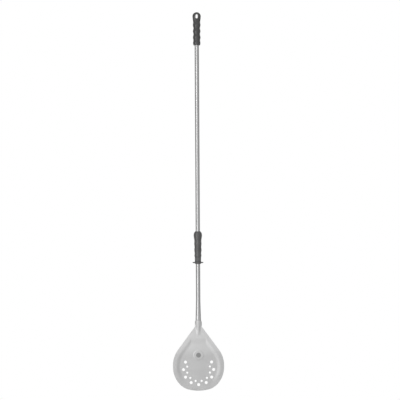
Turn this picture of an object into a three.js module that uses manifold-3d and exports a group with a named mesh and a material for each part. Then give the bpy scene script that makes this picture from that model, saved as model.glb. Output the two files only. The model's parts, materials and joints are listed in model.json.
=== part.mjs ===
// Turning peel for a wood-fired oven: a small perforated steel blade on a long round tube,
// a sleeve grip that slides and turns on the tube, and an end grip with a hanging eye.
//
// Millimetres, +Z up along the tube. The pizza side faces -Y and +X is to its right.
// The origin is on the tube's axis, where a wall hook bears on the top of the hanging eye.

import * as THREE from 'three';
import { mergeVertices } from 'three/addons/utils/BufferGeometryUtils.js';
import Module from 'manifold-3d';

const wasm = await Module();
wasm.setup();

// Driving dimensions
const SIDES = 32; // facets round a turned piece
const GAP = 0.3; // air left between pieces that rest on each other
const RUNNING_GAP = 0.1; // radial clearance of a running fit

const TUBE_RADIUS = 8.6;
const TUBE_WALL = 1;
const TUBE_TOP_Z = -36;
const CRUSH_START_Z = -1119; // below this the tube is pressed flat by degrees
const TUBE_TIP_Z = -1248;
const CRUSH_SPREAD = 3.3; // growth of its half-width down to the tip
const CRUSH_CURVE = 2.3; // the higher, the later the tube loses its thickness
const HOOD_SQUEEZE = 0.75; // share of the thickness left at the hood's mouth that is lost under it
const HOOD_SQUEEZE_LENGTH = 27;
// Where the crush is sectioned, from its start to the tip
const CRUSH_STATIONS = [0, 0.15, 0.3, 0.45, 0.61, 0.66, 0.71, 0.76, 0.82, 0.9, 0.95, 1];
const TIP_SEAM = 3; // length of the tip that is pressed shut and welded
const HOLLOW_HALF_THICKNESS = 0.2; // what is left of the bore just above that seam
const TIP_HALF_THICKNESS = 1.2;
const TIP_TRIM = 0.35; // share of the tip's width cut away to round it
const TIP_TRIM_LENGTH = 12;
const PLUG_HEAD = 1.8; // thickness of the end plug's flange
const PLUG_STEM = 14;
const PLUG_TAPER = 2;

const SHEET = 1.2; // thickness of the blade's steel
const SHOULDER_Y = 4.6; // mid-plane of the blade's shoulder
const DISH_DEPTH = 2.2; // how far the middle is pressed back from the shoulder
const DISH_INNER_RADIUS = 70;
const DISH_OUTER_RADIUS = 78;
const DISH_FADE_START = 95; // degrees from the neck, where the pressed step starts to run out
const DISH_FADE_END = 150;
const HEAD_RADIUS = 100;
const HEAD_CENTRE_Z = -1380;
const HEAD_STRETCH = 7; // short straight sides between the head's two halves
const SHOULDER_ANGLE = 36.2; // degrees between the straight shoulders and the tube
const CORNER_RADIUS = 70; // front corners, tighter than the head
const CORNER_START = 43; // degrees below the head's widest line
const FRONT_DEPTH = 93; // from the head's centre to the front edge
const MOUTH_Z = -1198; // top of the hood over the flattened tube
const NECK_END_Z = -1258; // where the hood has opened out flat
const RIDGE_WIDTH = 12; // half-width of the hood's ridge at its mouth
const RIDGE_END_WIDTH = 8; // and where it sinks into the blade
const RIDGE_SHAPING = 27; // length over which the ridge's section goes from an oval to a soft hump
const NECK_ROWS = 10;
const NECK_COLUMNS = 16;
const OUTLINE_STEPS = 72;

const HOLE_RING_Z = -1390.5;
const HOLE_SIDES = 16;
const HOLE_PITCH = 30; // degrees between neighbours in a row
// Two rows round the front: ring radius, hole radius, and the first hole's angle below the left
const HOLE_ROWS = [
  { ring: 59, hole: 5.9, count: 9, first: -30 },
  { ring: 46, hole: 4.2, count: 8, first: -15 },
];

const WELD_RADIUS = 1.1;
const WELD_TOP_Z = MOUTH_Z - 3;
const WELD_BOTTOM_Z = TUBE_TIP_Z + 10;
const TIP_WELD_REACH = 6.5; // half the length of the bead across the tip

const EYE_RADIUS = 16.2;
const EYE_TOP_Z = 7.7;
const EYE_FLATNESS = 0.52; // depth of the eye over its width
const EYE_SLOT_WIDTH = 8.5;
const EYE_SLOT_HEIGHT = 17.5;
const EYE_RING_ANGLES = [80, 60, 40, 20, 0]; // degrees above the eye's widest line
const ROUND_FROM_Z = -50; // the flat eye has blended into the round grip here
const END_GRIP_BOTTOM_Z = -122;
// Height and diameter of each crest and waist of the end grip, from the foot of its eye
const END_GRIP_WAVES = [
  [-20, 30.2],
  [-32, 27.1],
  [-43, 29.9],
  [-55, 25.3],
  [-67, 29.6],
  [-78.5, 25.2],
  [-90.5, 29.7],
  [-102, 26.2],
  [-112.5, 28.8],
  [-119.5, 27],
  [END_GRIP_BOTTOM_Z, 21.5],
];
const END_GRIP_STEPS = 26;

const SLIDER_TOP_Z = -852;
const SLIDER_COVER_END_Z = -949.5;
// Height and diameter of each crest and waist of the sliding grip's soft cover
const SLIDER_WAVES = [
  [-853.5, 27.6],
  [-858.5, 31],
  [-867, 32.4],
  [-885, 27.3],
  [-898, 28.4],
  [-911, 26.3],
  [-922, 28.1],
  [-935, 25.7],
  [-944, 27.6],
  [-948.5, 26],
];
const SLIDER_STEPS = 21;
const LINER_DROP = 2; // the liner's top end lies this far inside the cover
const REAR_COLLAR_RISE = 3; // and its collar stands this far out of it
const LINER_RADIUS = 11.25;
const BUSH_RADIUS = 10.15;
const BUSH_LENGTH = 12;
const COLLAR_RADIUS = 12.25;
const GUARD_RADIUS = 20.8;
const GUARD_TOP_Z = -969;
const GUARD_BOTTOM_Z = -972.8;
const GUARD_BEVEL = 1;
const NOSE_RADIUS = 11.5;
const NOSE_END_Z = -976.3;

const SCREW_Z = -78.5;
const SCREW_HEAD_RADIUS = 3.2;
const SCREW_RADIUS = 1.6;
const SCREW_HEAD_HEIGHT = 1.6;
const SCREW_HEAD_BEVEL = 0.5;
const SCREW_POINT = 1.6;
const SCREW_REACH = 3; // how far its point passes the tube's wall
const SCREW_SLOT_WIDTH = 0.9;

// Sizes that follow from them
const TUBE_BORE = TUBE_RADIUS - TUBE_WALL;
const UPPER_CENTRE_Z = HEAD_CENTRE_Z + HEAD_STRETCH;
const SLEEVE_BORE = TUBE_RADIUS + 2 * GAP;
const COVER_BORE = LINER_RADIUS + 1.2 * GAP;
const COUNTERBORE = BUSH_RADIUS + 1.5 * RUNNING_GAP;
const LINER_TOP_Z = SLIDER_TOP_Z - LINER_DROP;
const LINER_END_Z = GUARD_TOP_Z + GAP;
const GRIP_BORE = TUBE_RADIUS + GAP;
const REST_Y = SHOULDER_Y + SHEET / 2 + GAP; // the tube's tip rests on the back of the sheet here
const PLUG_TOP_Z = TUBE_TOP_Z + PLUG_HEAD;
const SCREW_SEAT_Y = TUBE_RADIUS + 2; // floor of the recess for the screw's head
const OUTSIDE_Y = 20; // well clear of the grip's skin

const { clamp, degToRad, lerp, radToDeg, smoothstep } = THREE.MathUtils;

const steel = (color, roughness) => new THREE.MeshStandardMaterial({ color, roughness, metalness: 1 });
const plastic = (color, roughness) => new THREE.MeshStandardMaterial({ color, roughness, metalness: 0 });

// ---- Shape helpers ----

function indexedGeometry(positions, index) {
  const geometry = new THREE.BufferGeometry();
  geometry.setAttribute('position', new THREE.Float32BufferAttribute(positions, 3));
  geometry.setIndex(index);
  geometry.computeVertexNormals();
  return geometry;
}

// A closed geometry as a solid that can be joined and cut
function toSolid(geometry) {
  const bare = geometry.clone();
  bare.deleteAttribute('normal');
  bare.deleteAttribute('uv');
  const merged = mergeVertices(bare, 1e-4);
  const vertProperties = new Float32Array(merged.attributes.position.array);
  const triVerts = new Uint32Array(merged.index.array);
  return new wasm.Manifold(new wasm.Mesh({ numProp: 3, vertProperties, triVerts }));
}

function toGeometry(solid) {
  const { vertProperties, triVerts } = solid.getMesh();
  return indexedGeometry(Array.from(vertProperties), Array.from(triVerts));
}

function cut(geometry, ...tools) {
  return toGeometry(tools.reduce((solid, tool) => solid.subtract(toSolid(tool)), toSolid(geometry)));
}

// Turns a closed profile of [radius, height] points about the Z axis
function turned(profile) {
  const points = profile.map(([radius, z]) => new THREE.Vector2(radius, z));
  const geometry = new THREE.LatheGeometry(points, SIDES);
  geometry.rotateX(Math.PI / 2);
  return geometry;
}

function ellipseRing(halfX, halfY, centreY, z) {
  return Array.from({ length: SIDES }, (_, side) => {
    const angle = (2 * Math.PI * side) / SIDES;
    return new THREE.Vector3(halfX * Math.cos(angle), centreY + halfY * Math.sin(angle), z);
  });
}

// Skins a stack of rings, top ring first, and caps both ends
function loft(rings) {
  const last = (rings.length - 1) * SIDES;
  const index = [];
  for (let ring = 0; ring < last; ring += SIDES) {
    for (let side = 0; side < SIDES; side++) {
      const here = ring + side;
      const next = ring + ((side + 1) % SIDES);
      index.push(here, here + SIDES, next, next, here + SIDES, next + SIDES);
    }
  }
  for (let side = 1; side + 1 < SIDES; side++) {
    index.push(0, side, side + 1);
    index.push(last, last + side + 1, last + side);
  }
  return indexedGeometry(rings.flat().flatMap((point) => point.toArray()), index);
}

// Gives a sheet its thickness: front and back copies of its mid-surface, closed by a rim.
// Faces run counter-clockwise seen from the front, the side that the normals point to.
function thicken(points, normals, faces, thickness) {
  const count = points.length;
  const positions = [thickness / 2, -thickness / 2].flatMap((offset) =>
    points.flatMap((point, i) => point.clone().addScaledVector(normals[i], offset).toArray()),
  );
  const index = [];
  const rim = new Map();
  for (const [a, b, c] of faces) {
    index.push(a, b, c, count + a, count + c, count + b);
    for (const [from, to] of [[a, b], [b, c], [c, a]]) {
      if (!rim.delete(`${to},${from}`)) rim.set(`${from},${to}`, [from, to]);
    }
  }
  for (const [from, to] of rim.values()) {
    index.push(to, from, count + from, to, count + from, count + to);
  }
  return indexedGeometry(positions, index);
}

// Points along a smooth curve through crests and waists, as [radius, height]
function wavyOutline(waves, steps) {
  const curve = new THREE.SplineCurve(waves.map(([z, diameter]) => new THREE.Vector2(diameter / 2, z)));
  return curve.getPoints(steps).map((point) => [point.x, point.y]);
}

// ---- The tube and how it flattens towards the blade ----

const crushAt = (z) => clamp((CRUSH_START_Z - z) / (CRUSH_START_Z - TUBE_TIP_Z), 0, 1);

const tubeHalfWidth = (z) => TUBE_RADIUS + CRUSH_SPREAD * crushAt(z);

// The tube is squeezed nearly flat under the hood
const tubeHalfThickness = (z) => {
  const squeezed = 1 - HOOD_SQUEEZE * smoothstep(MOUTH_Z - z, 0, HOOD_SQUEEZE_LENGTH);
  const spare = (TUBE_RADIUS - TIP_HALF_THICKNESS) * (1 - crushAt(z) ** CRUSH_CURVE);
  return TIP_HALF_THICKNESS + spare * squeezed;
};

const tubeBackY = (z) => lerp(TUBE_RADIUS, REST_Y + 2 * TIP_HALF_THICKNESS, crushAt(z) ** 2);

const tubeFrontY = (z) => tubeBackY(z) - 2 * tubeHalfThickness(z);

// A cross-section of the tube, inset from its outside; the last stretch is trimmed to a round tip
function tubeSection(z, inset) {
  const roundedTip = 1 - TIP_TRIM * smoothstep(-z, -TUBE_TIP_Z - TIP_TRIM_LENGTH, -TUBE_TIP_Z);
  const halfX = tubeHalfWidth(z) * roundedTip - inset;
  const halfY = Math.max(tubeHalfThickness(z) - inset, HOLLOW_HALF_THICKNESS);
  return ellipseRing(halfX, halfY, tubeBackY(z) - tubeHalfThickness(z), z);
}

function shaftTube() {
  const heights = CRUSH_STATIONS.map((part) => lerp(CRUSH_START_Z, TUBE_TIP_Z, part));
  const outside = [TUBE_TOP_Z, ...heights].map((z) => tubeSection(z, 0));
  const hollow = [TUBE_TOP_Z + TUBE_WALL, ...heights.slice(0, -1), TUBE_TIP_Z + TIP_SEAM];
  const bore = hollow.map((z) => tubeSection(z, TUBE_WALL));
  return cut(loft(outside), loft(bore), screwHole());
}

function tubeEndPlug() {
  const stem = TUBE_BORE - GAP;
  const stemEnd = TUBE_TOP_Z - PLUG_STEM;
  return turned([
    [0, stemEnd],
    [stem - PLUG_TAPER / 2, stemEnd],
    [stem, stemEnd + PLUG_TAPER],
    [stem, TUBE_TOP_Z + GAP],
    [TUBE_RADIUS, TUBE_TOP_Z + GAP],
    [TUBE_RADIUS, PLUG_TOP_Z],
    [0, PLUG_TOP_Z],
  ]);
}

// ---- The blade ----

const shoulderHalfWidth = (z) => {
  const angle = degToRad(SHOULDER_ANGLE);
  return (HEAD_RADIUS - (z - UPPER_CENTRE_Z) * Math.sin(angle)) / Math.cos(angle);
};

const neckHalfWidth = (z) => Math.max(tubeHalfWidth(z) + GAP + SHEET, shoulderHalfWidth(z));

const downHood = (z) => clamp((MOUTH_Z - z) / (MOUTH_Z - NECK_END_Z), 0, 1);

const hoodOpening = (z) => smoothstep(downHood(z), 0, 1);

// Height of the hood's two rims, which sink back to the sheet's plane as it opens
const rimY = (z) => lerp(tubeBackY(MOUTH_Z) - tubeHalfThickness(MOUTH_Z), SHOULDER_Y, hoodOpening(z));

const ridgeY = (z) => {
  const mouthY = tubeFrontY(MOUTH_Z) - GAP - SHEET / 2;
  return lerp(mouthY, SHOULDER_Y, downHood(z));
};

// Height of the ridge's section at a distance from its middle, as a share of the whole ridge
function ridgeShare(x, halfWidth, z) {
  const oval = Math.sqrt(Math.max(1 - (x / halfWidth) ** 2, 0));
  const width = lerp(RIDGE_WIDTH, RIDGE_END_WIDTH, downHood(z));
  const hump = Math.max(1 - (x / width) ** 2, 0) ** 2;
  return lerp(oval, hump, smoothstep(MOUTH_Z - z, 0, RIDGE_SHAPING));
}

// The neck is a hood over the front half of the flattened tube, and its ridge sinks into the blade
function neckPoint(across, z) {
  const halfWidth = neckHalfWidth(z) - (1 - hoodOpening(z)) * SHEET / 2;
  const x = halfWidth * Math.sin((across * Math.PI) / 2);
  return new THREE.Vector3(x, lerp(rimY(z), ridgeY(z), ridgeShare(x, halfWidth, z)), z);
}

function neckNormal(across, z) {
  const step = 0.01;
  const run = neckPoint(Math.min(across + step, 1), z).sub(neckPoint(Math.max(across - step, -1), z));
  return new THREE.Vector3(run.y, -run.x, 0).normalize();
}

// The head's outline from the neck's right corner round the front to its left corner
function headOutline(steps) {
  const shoulder = degToRad(SHOULDER_ANGLE);
  const corner = degToRad(CORNER_START);
  const offset = HEAD_RADIUS - CORNER_RADIUS;
  const cornerX = offset * Math.cos(corner);
  const cornerDrop = offset * Math.sin(corner);
  const cornerZ = HEAD_CENTRE_Z - cornerDrop;
  const run = FRONT_DEPTH - cornerDrop;
  const frontRadius = (cornerX ** 2 + run ** 2 - CORNER_RADIUS ** 2) / (2 * (run - CORNER_RADIUS));
  const frontZ = HEAD_CENTRE_Z - FRONT_DEPTH + frontRadius;
  const front = Math.atan2(frontZ - cornerZ, cornerX);
  const neck = shoulderHalfWidth(NECK_END_Z);
  const outline = new THREE.Path();
  outline.moveTo(neck, NECK_END_Z);
  outline.lineTo(HEAD_RADIUS * Math.cos(shoulder), UPPER_CENTRE_Z + HEAD_RADIUS * Math.sin(shoulder));
  outline.absarc(0, UPPER_CENTRE_Z, HEAD_RADIUS, shoulder, 0, true);
  outline.absarc(0, HEAD_CENTRE_Z, HEAD_RADIUS, 0, -corner, true);
  outline.absarc(cornerX, cornerZ, CORNER_RADIUS, -corner, -front, true);
  outline.absarc(0, frontZ, frontRadius, -front, front - Math.PI, true);
  outline.absarc(-cornerX, cornerZ, CORNER_RADIUS, front - Math.PI, corner - Math.PI, true);
  outline.absarc(0, HEAD_CENTRE_Z, HEAD_RADIUS, corner - Math.PI, -Math.PI, true);
  outline.absarc(0, UPPER_CENTRE_Z, HEAD_RADIUS, Math.PI, Math.PI - shoulder, true);
  outline.lineTo(-neck, NECK_END_Z);
  return outline.getSpacedPoints(steps);
}

// The head is pressed back into a shallow dish, whose step runs out towards the front edge
function headPoint(x, z) {
  const radius = Math.hypot(x, z - HEAD_CENTRE_Z);
  const bearing = radToDeg(Math.atan2(Math.abs(x), z - HEAD_CENTRE_Z));
  const step = smoothstep(radius, DISH_INNER_RADIUS, DISH_OUTER_RADIUS);
  const runOut = smoothstep(bearing, DISH_FADE_START, DISH_FADE_END);
  return new THREE.Vector3(x, SHOULDER_Y + DISH_DEPTH * (1 - step * (1 - runOut)), z);
}

function blade() {
  const points = [];
  const normals = [];
  const faces = [];
  const toFront = new THREE.Vector3(0, -1, 0);
  for (let row = 0; row <= NECK_ROWS; row++) {
    const z = lerp(MOUTH_Z, NECK_END_Z, row / NECK_ROWS);
    for (let column = 0; column <= NECK_COLUMNS; column++) {
      const across = (2 * column) / NECK_COLUMNS - 1;
      points.push(neckPoint(across, z));
      normals.push(neckNormal(across, z));
    }
  }
  const width = NECK_COLUMNS + 1;
  for (let corner = 0; corner < NECK_ROWS * width; corner++) {
    if (corner % width === NECK_COLUMNS) continue;
    faces.push([corner, corner + width, corner + 1], [corner + 1, corner + width, corner + width + 1]);
  }
  const addHeadPoint = (x, z) => {
    normals.push(toFront);
    return points.push(headPoint(x, z)) - 1;
  };
  const joinRow = NECK_ROWS * width;
  const edge = headOutline(OUTLINE_STEPS).slice(1, -1);
  const outline = edge.map((point) => addHeadPoint(point.x, point.y));
  const join = Array.from({ length: width }, (_, column) => joinRow + column);
  let outer = [joinRow + NECK_COLUMNS, ...outline, ...join.slice(0, -1)];
  const spokes = outer.map((i) => new THREE.Vector2(points[i].x, points[i].z - HEAD_CENTRE_Z).normalize());
  const middleRadius = (DISH_INNER_RADIUS + DISH_OUTER_RADIUS) / 2;
  for (const radius of [DISH_OUTER_RADIUS, middleRadius, DISH_INNER_RADIUS]) {
    const inner = spokes.map((spoke) => addHeadPoint(radius * spoke.x, HEAD_CENTRE_Z + radius * spoke.y));
    outer.forEach((here, k) => {
      const next = (k + 1) % outer.length;
      faces.push([here, inner[k], inner[next]], [here, inner[next], outer[next]]);
    });
    outer = inner;
  }
  const centre = addHeadPoint(0, HEAD_CENTRE_Z);
  outer.forEach((here, k) => faces.push([here, centre, outer[(k + 1) % outer.length]]));
  return cut(thicken(points, normals, faces, SHEET), ...perforations());
}

function perforations() {
  return HOLE_ROWS.flatMap(({ ring, hole, count, first }) =>
    Array.from({ length: count }, (_, i) => {
      const bearing = degToRad(180 + first + HOLE_PITCH * i);
      const punch = new THREE.CylinderGeometry(hole, hole, 10 * SHEET, HOLE_SIDES);
      punch.translate(ring * Math.cos(bearing), SHOULDER_Y, HOLE_RING_Z + ring * Math.sin(bearing));
      return punch;
    }),
  );
}

// ---- Weld beads behind the blade, between it and the flattened tube ----

function bead(points, steps) {
  const path = new THREE.CatmullRomCurve3(points);
  const section = new THREE.Shape();
  section.absarc(0, 0, WELD_RADIUS, 0, 2 * Math.PI);
  return new THREE.ExtrudeGeometry(section, { extrudePath: path, steps, curveSegments: 4 });
}

function neckWeld(side) {
  const points = [0, 0.25, 0.5, 0.75, 1].map((part) => {
    const z = lerp(WELD_TOP_Z, WELD_BOTTOM_Z, part);
    const x = tubeHalfWidth(z) + GAP + WELD_RADIUS;
    const lift = lerp(SHEET / 4, SHEET / 2 + GAP, smoothstep(MOUTH_Z - z, 0, RIDGE_SHAPING));
    return new THREE.Vector3(side * x, rimY(z) + lift + WELD_RADIUS, z);
  });
  return bead(points, 10);
}

function tipWeld() {
  const y = SHOULDER_Y + SHEET / 2 + GAP + WELD_RADIUS;
  const points = [-1, -0.5, 0, 0.5, 1].map(
    (part) => new THREE.Vector3(part * TIP_WELD_REACH, y, TUBE_TIP_Z - GAP - WELD_RADIUS),
  );
  return bead(points, 4);
}

// ---- The end grip ----

function endGrip() {
  const eyeCentreZ = EYE_TOP_Z - EYE_RADIUS;
  const rings = [];
  for (const angle of EYE_RING_ANGLES) {
    const halfX = EYE_RADIUS * Math.cos(degToRad(angle));
    const z = eyeCentreZ + EYE_RADIUS * Math.sin(degToRad(angle));
    rings.push(ellipseRing(halfX, halfX * EYE_FLATNESS, 0, z));
  }
  for (const [radius, z] of wavyOutline(END_GRIP_WAVES, END_GRIP_STEPS)) {
    const depth = lerp(1, EYE_FLATNESS, smoothstep(z, ROUND_FROM_Z, eyeCentreZ));
    rings.push(ellipseRing(radius, radius * depth, 0, z));
  }
  const boreTop = PLUG_TOP_Z + GAP;
  const bore = turned([
    [0, END_GRIP_BOTTOM_Z - 1],
    [GRIP_BORE, END_GRIP_BOTTOM_Z - 1],
    [GRIP_BORE, boreTop],
    [0, boreTop],
  ]);
  return cut(loft(rings), bore, eyeSlot(), screwHole(), screwRecess());
}

function eyeSlot() {
  const half = EYE_SLOT_WIDTH / 2;
  const outline = new THREE.Shape();
  outline.absarc(0, -half, half, 0, Math.PI, false);
  outline.absarc(0, half - EYE_SLOT_HEIGHT, half, Math.PI, 2 * Math.PI, false);
  const depth = 4 * EYE_RADIUS;
  const slot = new THREE.ExtrudeGeometry(outline, { depth, bevelEnabled: false, curveSegments: 8 });
  slot.translate(0, 0, -depth / 2);
  slot.rotateX(Math.PI / 2);
  return slot;
}

// The retaining screw goes in from the back, through the grip and the tube's wall
function towardsBack(geometry) {
  geometry.rotateX(-Math.PI / 2);
  geometry.translate(0, 0, SCREW_Z);
  return geometry;
}

const drilled = (radius, startY) =>
  towardsBack(turned([[0, startY], [radius, startY], [radius, OUTSIDE_Y], [0, OUTSIDE_Y]]));

const screwHole = () => drilled(SCREW_RADIUS + GAP, SCREW_RADIUS);

const screwRecess = () => drilled(SCREW_HEAD_RADIUS + GAP, SCREW_SEAT_Y);

function endGripScrew() {
  const headUnderside = SCREW_SEAT_Y + GAP;
  const headTop = headUnderside + SCREW_HEAD_HEIGHT;
  const tip = TUBE_BORE - SCREW_REACH;
  const shape = turned([
    [0, tip],
    [SCREW_RADIUS, tip + SCREW_POINT],
    [SCREW_RADIUS, headUnderside],
    [SCREW_HEAD_RADIUS, headUnderside],
    [SCREW_HEAD_RADIUS - SCREW_HEAD_BEVEL, headTop],
    [0, headTop],
  ]);
  const slot = new THREE.BoxGeometry(SCREW_SLOT_WIDTH, 3 * SCREW_HEAD_RADIUS, SCREW_HEAD_HEIGHT);
  slot.translate(0, 0, headTop);
  return towardsBack(cut(shape, slot));
}

// ---- The sliding grip ----

// Nylon tube inside the soft cover, with a counterbore for a bush at each end
function sliderLiner() {
  const topShoulder = LINER_TOP_Z - BUSH_LENGTH - GAP;
  const lowShoulder = LINER_END_Z + BUSH_LENGTH + GAP;
  return turned([
    [LINER_RADIUS, LINER_END_Z],
    [LINER_RADIUS, LINER_TOP_Z],
    [COUNTERBORE, LINER_TOP_Z],
    [COUNTERBORE, topShoulder],
    [SLEEVE_BORE, topShoulder],
    [SLEEVE_BORE, lowShoulder],
    [COUNTERBORE, lowShoulder],
    [COUNTERBORE, LINER_END_Z],
    [LINER_RADIUS, LINER_END_Z],
  ]);
}

function ringOf(outerRadius, boreRadius, endZ, topZ) {
  return turned([
    [outerRadius, endZ],
    [outerRadius, topZ],
    [boreRadius, topZ],
    [boreRadius, endZ],
    [outerRadius, endZ],
  ]);
}

const bush = (topZ) => ringOf(BUSH_RADIUS, TUBE_RADIUS + RUNNING_GAP, topZ - BUSH_LENGTH + GAP, topZ);

// Closes the liner's top end over its bush
const rearCollar = () =>
  ringOf(LINER_RADIUS, SLEEVE_BORE, LINER_TOP_Z + GAP, SLIDER_TOP_Z + REAR_COLLAR_RISE);

// Hard ring between the soft cover and the guard
const frontCollar = () => ringOf(COLLAR_RADIUS, COVER_BORE, GUARD_TOP_Z + GAP, SLIDER_COVER_END_Z - GAP);

function sliderCover() {
  const outside = wavyOutline(SLIDER_WAVES, SLIDER_STEPS).reverse();
  return turned([
    [COVER_BORE, SLIDER_COVER_END_Z],
    ...outside,
    [COVER_BORE + 1, SLIDER_TOP_Z],
    [COVER_BORE, SLIDER_TOP_Z],
    [COVER_BORE, SLIDER_COVER_END_Z],
  ]);
}

// Flat flange that keeps the hand off the hot end, with a short nose that holds the front bush in
function guardRing() {
  return turned([
    [NOSE_RADIUS, NOSE_END_Z],
    [NOSE_RADIUS, GUARD_BOTTOM_Z],
    [GUARD_RADIUS - GUARD_BEVEL, GUARD_BOTTOM_Z],
    [GUARD_RADIUS, GUARD_BOTTOM_Z + GUARD_BEVEL],
    [GUARD_RADIUS, GUARD_TOP_Z - GUARD_BEVEL],
    [GUARD_RADIUS - GUARD_BEVEL, GUARD_TOP_Z],
    [SLEEVE_BORE, GUARD_TOP_Z],
    [SLEEVE_BORE, NOSE_END_Z],
    [NOSE_RADIUS, NOSE_END_Z],
  ]);
}

// ---- Assembly ----

const part = (name, geometry, material) => {
  const mesh = new THREE.Mesh(geometry, material);
  mesh.name = name;
  return mesh;
};

const weldSteel = steel(0x9c9c9c, 0.5);
const nylon = plastic(0xe6e2d8, 0.5);
const hardPlastic = plastic(0x3a3a3a, 0.45);

const peel = new THREE.Group();
peel.add(
  part('blade', blade(), steel(0xc4c4c4, 0.4)),
  part('shaft_tube', shaftTube(), steel(0xb4b4b4, 0.28)),
  part('neck_weld_left', neckWeld(-1), weldSteel),
  part('neck_weld_right', neckWeld(1), weldSteel),
  part('neck_weld_tip', tipWeld(), weldSteel),
  part('tube_end_plug', tubeEndPlug(), plastic(0x2a2a2a, 0.6)),
  part('end_grip', endGrip(), plastic(0x3c3c3c, 0.5)),
  part('end_grip_screw', endGripScrew(), steel(0xa8a8a8, 0.35)),
);

const slider = new THREE.Group();
slider.add(
  part('rear_bush', bush(LINER_TOP_Z), nylon),
  part('front_bush', bush(LINER_END_Z + BUSH_LENGTH - GAP), nylon),
  part('slider_liner', sliderLiner(), plastic(0x2a2a2a, 0.6)),
  part('slider_grip', sliderCover(), plastic(0x444444, 0.5)),
  part('rear_collar', rearCollar(), hardPlastic),
  part('front_collar', frontCollar(), hardPlastic),
  part('guard_ring', guardRing(), hardPlastic),
);
peel.add(slider);

export default peel;
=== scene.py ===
# %% [markdown]
# # A turning peel for a wood-fired oven
#
# The peel is a small perforated steel blade on a steel tube over a metre long. One hand holds the
# end grip, which has an eye to hang it by. The other holds a sleeve that slides and turns freely
# on the tube, so the blade can be pushed, pulled and spun under a pizza.
#
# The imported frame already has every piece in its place. Here each piece is made again as a fine
# mesh, with rounded edges and a finish of its own, in the same frame and at the same size.

# %% Load the frame
import json
import math

import bmesh
import bpy
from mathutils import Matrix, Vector
from mathutils.geometry import delaunay_2d_cdt
from mathutils.kdtree import KDTree

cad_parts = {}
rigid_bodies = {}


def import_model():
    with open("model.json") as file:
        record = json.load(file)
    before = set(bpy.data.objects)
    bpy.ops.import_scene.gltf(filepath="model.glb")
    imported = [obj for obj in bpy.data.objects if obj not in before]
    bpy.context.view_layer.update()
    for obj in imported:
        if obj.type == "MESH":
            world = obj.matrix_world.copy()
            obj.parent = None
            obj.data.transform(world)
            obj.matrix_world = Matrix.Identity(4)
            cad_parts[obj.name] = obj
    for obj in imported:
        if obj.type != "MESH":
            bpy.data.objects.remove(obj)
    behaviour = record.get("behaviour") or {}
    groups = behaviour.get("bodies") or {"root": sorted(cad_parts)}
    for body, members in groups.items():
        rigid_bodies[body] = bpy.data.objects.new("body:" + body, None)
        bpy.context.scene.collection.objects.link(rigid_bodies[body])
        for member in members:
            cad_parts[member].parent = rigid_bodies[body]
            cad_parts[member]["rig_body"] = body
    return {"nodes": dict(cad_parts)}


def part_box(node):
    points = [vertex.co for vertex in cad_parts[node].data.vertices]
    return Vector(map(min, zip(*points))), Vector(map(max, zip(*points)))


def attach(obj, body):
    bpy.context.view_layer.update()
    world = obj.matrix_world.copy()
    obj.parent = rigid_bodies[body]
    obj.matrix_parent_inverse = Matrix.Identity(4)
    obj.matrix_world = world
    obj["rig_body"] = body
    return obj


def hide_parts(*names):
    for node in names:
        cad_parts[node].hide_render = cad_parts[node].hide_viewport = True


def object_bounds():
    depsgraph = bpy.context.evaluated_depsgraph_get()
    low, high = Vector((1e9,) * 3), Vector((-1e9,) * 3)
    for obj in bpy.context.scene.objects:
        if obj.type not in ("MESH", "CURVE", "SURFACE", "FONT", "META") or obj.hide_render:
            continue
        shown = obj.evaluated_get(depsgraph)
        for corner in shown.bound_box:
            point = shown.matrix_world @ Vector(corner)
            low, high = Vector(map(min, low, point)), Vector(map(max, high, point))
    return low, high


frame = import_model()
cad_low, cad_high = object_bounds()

print("frame:", len(frame["nodes"]), "nodes,", round(cad_high.z - cad_low.z, 3), "m long")

# %% [markdown]
# ## Lengths
#
# A maker of hand tools thinks in millimetres, so lengths here are in millimetres and turn into
# metres when a mesh is made. A place that the frame knows is read from the frame. Z runs up the
# tube, -Y is the side that carries the pizza, and the tube's axis is the Z axis.

# %% Places from the frame
MM = 0.001


def span(node):
    """Lowest and highest corner of a node of the frame, in millimetres."""
    low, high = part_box(node)
    return low / MM, high / MM


tube_low, tube_high = span("shaft_tube")
blade_low, blade_high = span("blade")
eye_low, eye_high = span("end_grip")
cover_low, cover_high = span("slider_grip")
guard_low, guard_high = span("guard_ring")
TUBE_RADIUS = tube_high.y
print("tube:", round(2 * TUBE_RADIUS, 2), "mm across,", round(tube_high.z - tube_low.z), "mm long")


# %% [markdown]
# ## Small tools
#
# Three things come back in every piece: easing from one value to another, a smooth curve through
# a few crests and waists, and an edge that is rounded instead of sharp. No real edge is sharp, and
# a thin line of light along an edge is what tells the eye that a piece was moulded or pressed.

# %% Easing and curves
def lerp(start, end, share):
    return start + (end - start) * share


def ease(value, low, high):
    """0 below low, 1 above high, and an S-curve between them."""
    share = min(max((value - low) / (high - low), 0), 1)
    return share * share * (3 - 2 * share)


def smooth_curve(points, steps):
    """Points along a Catmull-Rom curve through the given ones, so many to each stretch."""
    padded = [points[0], *points, points[-1]]
    curve = []
    for a, b, c, d in zip(padded, padded[1:], padded[2:], padded[3:]):
        for step in range(steps):
            t = step / steps
            bend = (2 * a - 5 * b + 4 * c - d) * t**2 + (3 * b - a - 3 * c + d) * t**3
            curve.append((2 * b + (c - a) * t + bend) / 2)
    return [*curve, points[-1]]


def evenly(points, spacing):
    """Points at an even spacing along a line of points, with both of its ends."""
    lengths = [(b - a).length for a, b in zip(points, points[1:])]
    count = max(round(sum(lengths) / spacing), 1)
    even, walked, leg = [points[0]], 0.0, 0
    for step in range(1, count):
        target = sum(lengths) * step / count
        while walked + lengths[leg] < target:
            walked += lengths[leg]
            leg += 1
        even.append(points[leg].lerp(points[leg + 1], (target - walked) / lengths[leg]))
    return [*even, points[-1]]


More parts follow.
